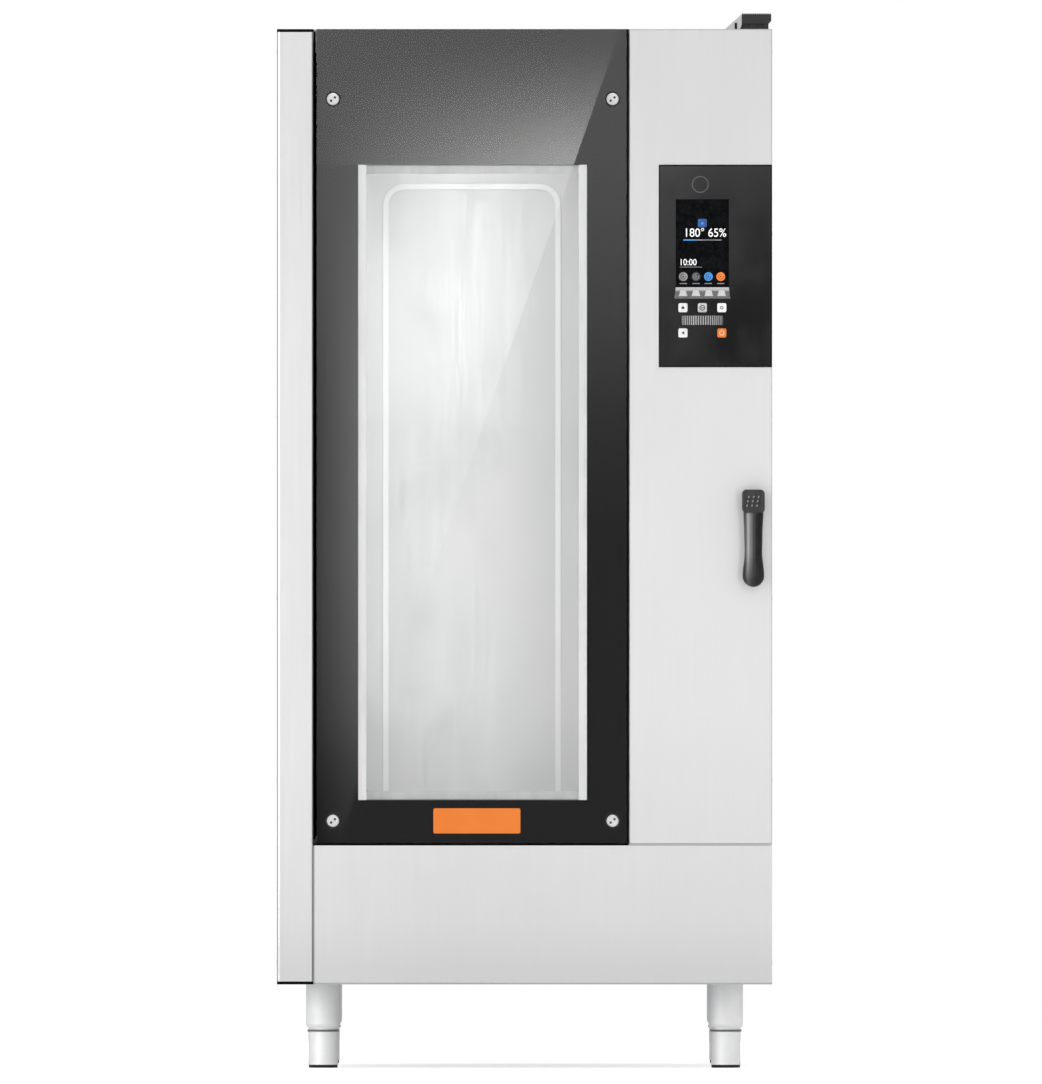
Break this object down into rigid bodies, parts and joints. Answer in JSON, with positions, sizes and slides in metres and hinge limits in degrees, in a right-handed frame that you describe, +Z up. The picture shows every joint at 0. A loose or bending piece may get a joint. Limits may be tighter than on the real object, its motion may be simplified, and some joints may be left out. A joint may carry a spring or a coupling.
{
  "type": "combi oven",
  "caption": "Tall free-standing combi oven on adjustable legs, with a glazed full-height door, key panel, lever handle and roof vent.",
  "frame": {"origin": "floor level, under the middle of the oven's overall box", "axes": "+X to the oven's right seen from the front, +Y to its back, +Z up"},
  "size_m": [0.907, 1.098, 1.932],
  "materials": {
    "steel": "fine brushed stainless sheet",
    "bright_steel": "polished stainless",
    "zinc_steel": "galvanised",
    "smoked_glass": "clear, slightly smoked pane",
    "black_print": "black enamel border behind the glass",
    "black_glass": "black glass sheet",
    "screen": "dark screen",
    "rubber": "black seal and foot rubber",
    "black_plastic": "satin black plastic",
    "dark_plastic": "satin dark grey plastic",
    "grey_plastic": "light grey plastic",
    "white_plastic": "white key",
    "orange_plastic": "orange key and badge plate",
    "light_bar": "milky light bar",
    "wool": "mineral wool",
    "circuit_board": "green circuit board",
    "brass": "brass fitting",
    "motor": "grey motor paint"
  },
  "bodies": {
    "cabinet": {"base_frame": "steel", "leg_sleeves": "steel", "bottom_pan": "zinc_steel", "left_side_panel": "steel", "right_side_panel": "steel", "rear_panel": "zinc_steel", "top_panel": "steel", "front_frame": "steel", "plinth_panel": "steel", "left_column": "steel", "column_caps": "black_plastic", "cavity_liner": "bright_steel", "cavity_insulation": "wool", "door_gasket": "rubber", "drain_pipe": "steel", "heating_elements": "steel", "fan_motors": "motor", "exhaust_duct": "steel", "vent_shield": "steel", "vent_cap": "black_plastic", "hinge_brackets": "steel", "latch_striker": "steel", "contactor_panel": "grey_plastic", "water_inlets": "brass", "cable_gland": "black_plastic", "panel_screws": "bright_steel"},
    "door": {"door_frame": "zinc_steel", "outer_glass": "smoked_glass", "glass_border": "black_print", "glass_studs": "bright_steel", "badge_plate": "orange_plastic", "side_fascia": "steel", "inner_skin": "bright_steel", "inner_glass": "smoked_glass", "led_bars": "light_bar", "control_glass": "black_glass", "display_screen": "screen", "softkey_bezel": "dark_plastic", "control_board": "circuit_board", "handle_base": "dark_plastic"},
    "handle": {"handle_grip": "dark_plastic", "handle_spindle": "steel"},
    "fan_upper": {"fan_upper": "bright_steel"},
    "fan_lower": {"fan_lower": "bright_steel"},
    "air_baffle": {"air_baffle": "bright_steel"},
    "vent_damper": {"vent_damper": "bright_steel"},
    "foot_front_left": {"foot_front_left": "bright_steel"},
    "foot_front_right": {"foot_front_right": "bright_steel"},
    "foot_rear_left": {"foot_rear_left": "bright_steel"},
    "foot_rear_right": {"foot_rear_right": "bright_steel"},
    "scroll_wheel": {"scroll_wheel": "dark_plastic"},
    "softkey_1": {"softkey_1": "grey_plastic"},
    "softkey_2": {"softkey_2": "grey_plastic"},
    "softkey_3": {"softkey_3": "grey_plastic"},
    "softkey_4": {"softkey_4": "grey_plastic"},
    "key_home": {"key_home": "white_plastic"},
    "key_mode": {"key_mode": "grey_plastic"},
    "key_light": {"key_light": "white_plastic"},
    "key_back": {"key_back": "white_plastic"},
    "key_start": {"key_start": "orange_plastic"}
  },
  "joints": [
    {"name": "door_hinge", "type": "hinge", "parent": "cabinet", "child": "door", "pos_m": [-0.364, -0.472, 0.412], "axis": [0, 0, -1], "range_deg": [0, 100]},
    {"name": "handle_turn", "type": "hinge", "parent": "door", "child": "handle", "pos_m": [0.418, -0.487, 1.037], "axis": [0, 1, 0], "range_deg": [0, 90]},
    {"name": "scroll_wheel_turn", "type": "hinge", "parent": "door", "child": "scroll_wheel", "pos_m": [0.325, -0.467, 1.3677], "axis": [0, 0, 1], "continuous": true},
    {"name": "fan_upper_spin", "type": "hinge", "parent": "cabinet", "child": "fan_upper", "pos_m": [0.195, -0.021, 1.375], "axis": [1, 0, 0], "continuous": true},
    {"name": "fan_lower_spin", "type": "hinge", "parent": "cabinet", "child": "fan_lower", "pos_m": [0.195, -0.021, 0.775], "axis": [1, 0, 0], "continuous": true},
    {"name": "air_baffle_swing", "type": "hinge", "parent": "cabinet", "child": "air_baffle", "pos_m": [0.13, 0.3105, 0.459], "axis": [0, 0, -1], "range_deg": [0, 38]},
    {"name": "vent_damper_turn", "type": "hinge", "parent": "cabinet", "child": "vent_damper", "pos_m": [0.423, -0.156, 1.874], "axis": [0, 1, 0], "range_deg": [0, 90]},
    {"name": "foot_front_left_adjust", "type": "slide", "parent": "cabinet", "child": "foot_front_left", "axis": [0, 0, -1], "range_m": [0, 0.04]},
    {"name": "foot_front_right_adjust", "type": "slide", "parent": "cabinet", "child": "foot_front_right", "axis": [0, 0, -1], "range_m": [0, 0.04]},
    {"name": "foot_rear_left_adjust", "type": "slide", "parent": "cabinet", "child": "foot_rear_left", "axis": [0, 0, -1], "range_m": [0, 0.04]},
    {"name": "foot_rear_right_adjust", "type": "slide", "parent": "cabinet", "child": "foot_rear_right", "axis": [0, 0, -1], "range_m": [0, 0.04]},
    {"name": "softkey_1_press", "type": "slide", "parent": "door", "child": "softkey_1", "axis": [0, 1, 0], "range_m": [0, 0.0012], "stiffness_N_per_m": 400},
    {"name": "softkey_2_press", "type": "slide", "parent": "door", "child": "softkey_2", "axis": [0, 1, 0], "range_m": [0, 0.0012], "stiffness_N_per_m": 400},
    {"name": "softkey_3_press", "type": "slide", "parent": "door", "child": "softkey_3", "axis": [0, 1, 0], "range_m": [0, 0.0012], "stiffness_N_per_m": 400},
    {"name": "softkey_4_press", "type": "slide", "parent": "door", "child": "softkey_4", "axis": [0, 1, 0], "range_m": [0, 0.0012], "stiffness_N_per_m": 400},
    {"name": "key_home_press", "type": "slide", "parent": "door", "child": "key_home", "axis": [0, 1, 0], "range_m": [0, 0.0012], "stiffness_N_per_m": 400},
    {"name": "key_mode_press", "type": "slide", "parent": "door", "child": "key_mode", "axis": [0, 1, 0], "range_m": [0, 0.0012], "stiffness_N_per_m": 400},
    {"name": "key_light_press", "type": "slide", "parent": "door", "child": "key_light", "axis": [0, 1, 0], "range_m": [0, 0.0012], "stiffness_N_per_m": 400},
    {"name": "key_back_press", "type": "slide", "parent": "door", "child": "key_back", "axis": [0, 1, 0], "range_m": [0, 0.0012], "stiffness_N_per_m": 400},
    {"name": "key_start_press", "type": "slide", "parent": "door", "child": "key_start", "axis": [0, 1, 0], "range_m": [0, 0.0012], "stiffness_N_per_m": 400}
  ]
}
